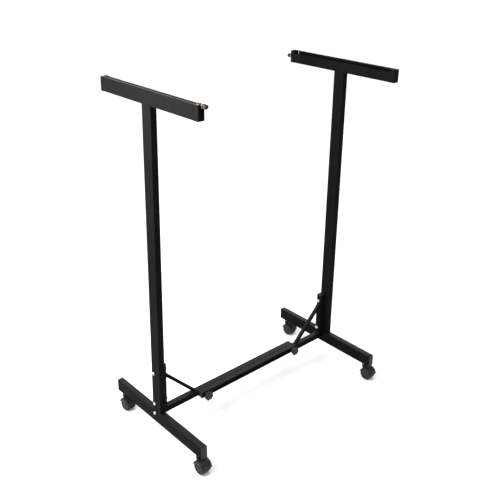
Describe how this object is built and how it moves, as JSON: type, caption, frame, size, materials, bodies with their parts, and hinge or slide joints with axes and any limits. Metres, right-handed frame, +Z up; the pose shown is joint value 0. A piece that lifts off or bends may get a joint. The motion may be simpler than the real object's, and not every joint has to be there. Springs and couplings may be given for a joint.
{
  "type": "background support stand",
  "caption": "Rolling background support: two T-shaped frames with slotted top rails, joined by an adjustable two-part crossbar, on twin-wheel casters.",
  "frame": {"origin": "on the floor, midway between the two frames", "axes": "+X along the crossbar from the left frame to the right one, +Y along the rails and feet to the far side, +Z up"},
  "size_m": [0.949, 0.5869, 1.3611],
  "materials": {
    "frame_paint": "satin black powder coat",
    "block_black": "satin black",
    "cap_black": "matte moulded plastic",
    "zinc_steel": "bright zinc plate",
    "bare_steel": "bare turned steel",
    "yellow_zinc": "yellow plated",
    "grip_black": "moulded plastic",
    "knob_grey": "moulded plastic",
    "hood_grey": "moulded plastic",
    "wheel_grey": "moulded plastic"
  },
  "bodies": {
    "left_frame": {"left_foot": "frame_paint", "left_foot_caps": "cap_black", "left_upright": "frame_paint", "left_rail": "frame_paint", "left_rail_blocks": "block_black", "left_post": "frame_paint", "left_post_caps": "cap_black", "left_brace": "frame_paint", "left_half_bar": "frame_paint", "left_bar_cap": "cap_black", "left_bolts": "zinc_steel", "left_nuts": "zinc_steel", "left_lock_bolt": "zinc_steel", "left_caster_stems": "zinc_steel"},
    "left_clamp_rod": {"left_clamp_tube": "frame_paint", "left_clamp_bushes": "bare_steel", "left_clamp_core": "zinc_steel", "left_clamp_ring": "yellow_zinc"},
    "left_grip": {"left_clamp_grip": "grip_black"},
    "left_knob": {"left_lock_knob": "knob_grey"},
    "left_near_swivel": {"left_near_hood": "hood_grey", "left_near_axle": "zinc_steel"},
    "left_near_wheel_a": {"left_near_wheel_a": "wheel_grey"},
    "left_near_wheel_b": {"left_near_wheel_b": "wheel_grey"},
    "left_far_swivel": {"left_far_hood": "hood_grey", "left_far_axle": "zinc_steel"},
    "left_far_wheel_a": {"left_far_wheel_a": "wheel_grey"},
    "left_far_wheel_b": {"left_far_wheel_b": "wheel_grey"},
    "right_frame": {"right_foot": "frame_paint", "right_foot_caps": "cap_black", "right_upright": "frame_paint", "right_rail": "frame_paint", "right_rail_blocks": "block_black", "right_post": "frame_paint", "right_post_caps": "cap_black", "right_brace": "frame_paint", "right_half_bar": "frame_paint", "right_bar_cap": "cap_black", "right_bolts": "zinc_steel", "right_nuts": "zinc_steel", "right_lock_bolt": "zinc_steel", "right_caster_stems": "zinc_steel"},
    "right_clamp_rod": {"right_clamp_tube": "frame_paint", "right_clamp_bushes": "bare_steel", "right_clamp_core": "zinc_steel", "right_clamp_ring": "yellow_zinc"},
    "right_grip": {"right_clamp_grip": "grip_black"},
    "right_knob": {"right_lock_knob": "knob_grey"},
    "right_near_swivel": {"right_near_hood": "hood_grey", "right_near_axle": "zinc_steel"},
    "right_near_wheel_a": {"right_near_wheel_a": "wheel_grey"},
    "right_near_wheel_b": {"right_near_wheel_b": "wheel_grey"},
    "right_far_swivel": {"right_far_hood": "hood_grey", "right_far_axle": "zinc_steel"},
    "right_far_wheel_a": {"right_far_wheel_a": "wheel_grey"},
    "right_far_wheel_b": {"right_far_wheel_b": "wheel_grey"}
  },
  "joints": [
    {"name": "crossbar_slide", "type": "slide", "parent": "left_frame", "child": "right_frame", "axis": [1, 0, 0], "range_m": [0, 0.44]},
    {"name": "left_clamp_lift", "type": "slide", "parent": "left_frame", "child": "left_clamp_rod", "axis": [0, 0, 1], "range_m": [-0.022, 0]},
    {"name": "left_grip_turn", "type": "hinge", "parent": "left_clamp_rod", "child": "left_grip", "pos_m": [-0.4495, -0.2711, 1.353], "axis": [0, 1, 0], "continuous": true},
    {"name": "left_knob_turn", "type": "hinge", "parent": "left_frame", "child": "left_knob", "pos_m": [0.243, -0.02, 0.1035], "axis": [0, 1, 0], "continuous": true},
    {"name": "left_near_swivel_turn", "type": "hinge", "parent": "left_frame", "child": "left_near_swivel", "pos_m": [-0.4525, -0.2275, 0.055], "axis": [0, 0, 1], "continuous": true},
    {"name": "left_near_wheel_a_roll", "type": "hinge", "parent": "left_near_swivel", "child": "left_near_wheel_a", "pos_m": [-0.4525, -0.2475, 0.025], "axis": [1, 0, 0], "continuous": true},
    {"name": "left_near_wheel_b_roll", "type": "hinge", "parent": "left_near_swivel", "child": "left_near_wheel_b", "pos_m": [-0.4525, -0.2475, 0.025], "axis": [1, 0, 0], "continuous": true},
    {"name": "left_far_swivel_turn", "type": "hinge", "parent": "left_frame", "child": "left_far_swivel", "pos_m": [-0.4525, 0.2525, 0.055], "axis": [0, 0, 1], "continuous": true},
    {"name": "left_far_wheel_a_roll", "type": "hinge", "parent": "left_far_swivel", "child": "left_far_wheel_a", "pos_m": [-0.4525, 0.2325, 0.025], "axis": [1, 0, 0], "continuous": true},
    {"name": "left_far_wheel_b_roll", "type": "hinge", "parent": "left_far_swivel", "child": "left_far_wheel_b", "pos_m": [-0.4525, 0.2325, 0.025], "axis": [1, 0, 0], "continuous": true},
    {"name": "right_clamp_lift", "type": "slide", "parent": "right_frame", "child": "right_clamp_rod", "axis": [0, 0, 1], "range_m": [0, 0.022]},
    {"name": "right_grip_turn", "type": "hinge", "parent": "right_clamp_rod", "child": "right_grip", "pos_m": [0.4495, 0.2711, 1.331], "axis": [0, 1, 0], "continuous": true},
    {"name": "right_knob_turn", "type": "hinge", "parent": "right_frame", "child": "right_knob", "pos_m": [-0.243, -0.02, 0.1035], "axis": [0, 1, 0], "continuous": true},
    {"name": "right_near_swivel_turn", "type": "hinge", "parent": "right_frame", "child": "right_near_swivel", "pos_m": [0.4525, -0.2525, 0.055], "axis": [0, 0, 1], "continuous": true},
    {"name": "right_near_wheel_a_roll", "type": "hinge", "parent": "right_near_swivel", "child": "right_near_wheel_a", "pos_m": [0.4525, -0.2725, 0.025], "axis": [1, 0, 0], "continuous": true},
    {"name": "right_near_wheel_b_roll", "type": "hinge", "parent": "right_near_swivel", "child": "right_near_wheel_b", "pos_m": [0.4525, -0.2725, 0.025], "axis": [1, 0, 0], "continuous": true},
    {"name": "right_far_swivel_turn", "type": "hinge", "parent": "right_frame", "child": "right_far_swivel", "pos_m": [0.4525, 0.2275, 0.055], "axis": [0, 0, 1], "continuous": true},
    {"name": "right_far_wheel_a_roll", "type": "hinge", "parent": "right_far_swivel", "child": "right_far_wheel_a", "pos_m": [0.4525, 0.2075, 0.025], "axis": [1, 0, 0], "continuous": true},
    {"name": "right_far_wheel_b_roll", "type": "hinge", "parent": "right_far_swivel", "child": "right_far_wheel_b", "pos_m": [0.4525, 0.2075, 0.025], "axis": [1, 0, 0], "continuous": true}
  ]
}
